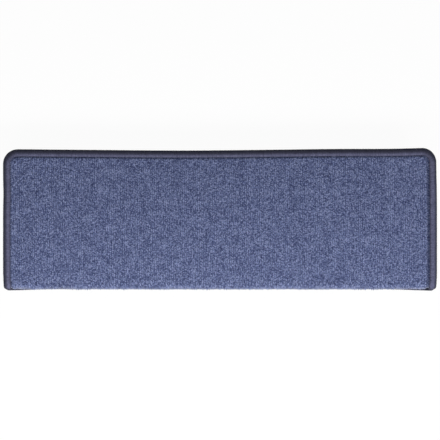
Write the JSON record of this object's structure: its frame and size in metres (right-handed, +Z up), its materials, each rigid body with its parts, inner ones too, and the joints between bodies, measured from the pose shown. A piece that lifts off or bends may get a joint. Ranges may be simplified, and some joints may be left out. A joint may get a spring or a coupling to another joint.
{
  "type": "anti slip stair tread mat",
  "caption": "Loop pile carpet mat for one stair tread, folded down over the step's front edge, whipped with yarn all round, with a non-slip backing and adhesive strips.",
  "frame": {"origin": "middle of the mat's width and depth over the whipped edge, on the seat plane, which is the lower face of the middle adhesive strip's liner", "axes": "+X along the step, to the right of someone who stands in front of the step, +Y from the step's front edge to its back, +Z up out of the pile"},
  "size_m": [0.65, 0.21, 0.04],
  "materials": {
    "pile": "blue-grey melange loop pile with dark navy and pale blue flecks, in fine rows, matte",
    "rubber_backing": "dark grey non-slip rubber with a fine waffle face, matte",
    "binding_yarn": "dark navy yarn wound closely round the edge, soft sheen",
    "angle_plastic": "black extruded plastic, satin",
    "adhesive": "pale foam tape, matte",
    "liner_paper": "smooth cream release paper, slight gloss"
  },
  "bodies": {
    "root": {"pile_carpet": "pile", "backing": "rubber_backing", "edge_binding": "binding_yarn", "nosing_angle": "angle_plastic", "adhesive_strip_middle": "adhesive", "adhesive_strip_rear": "adhesive", "release_liner_middle": "liner_paper", "release_liner_rear": "liner_paper"}
  },
  "joints": []
}
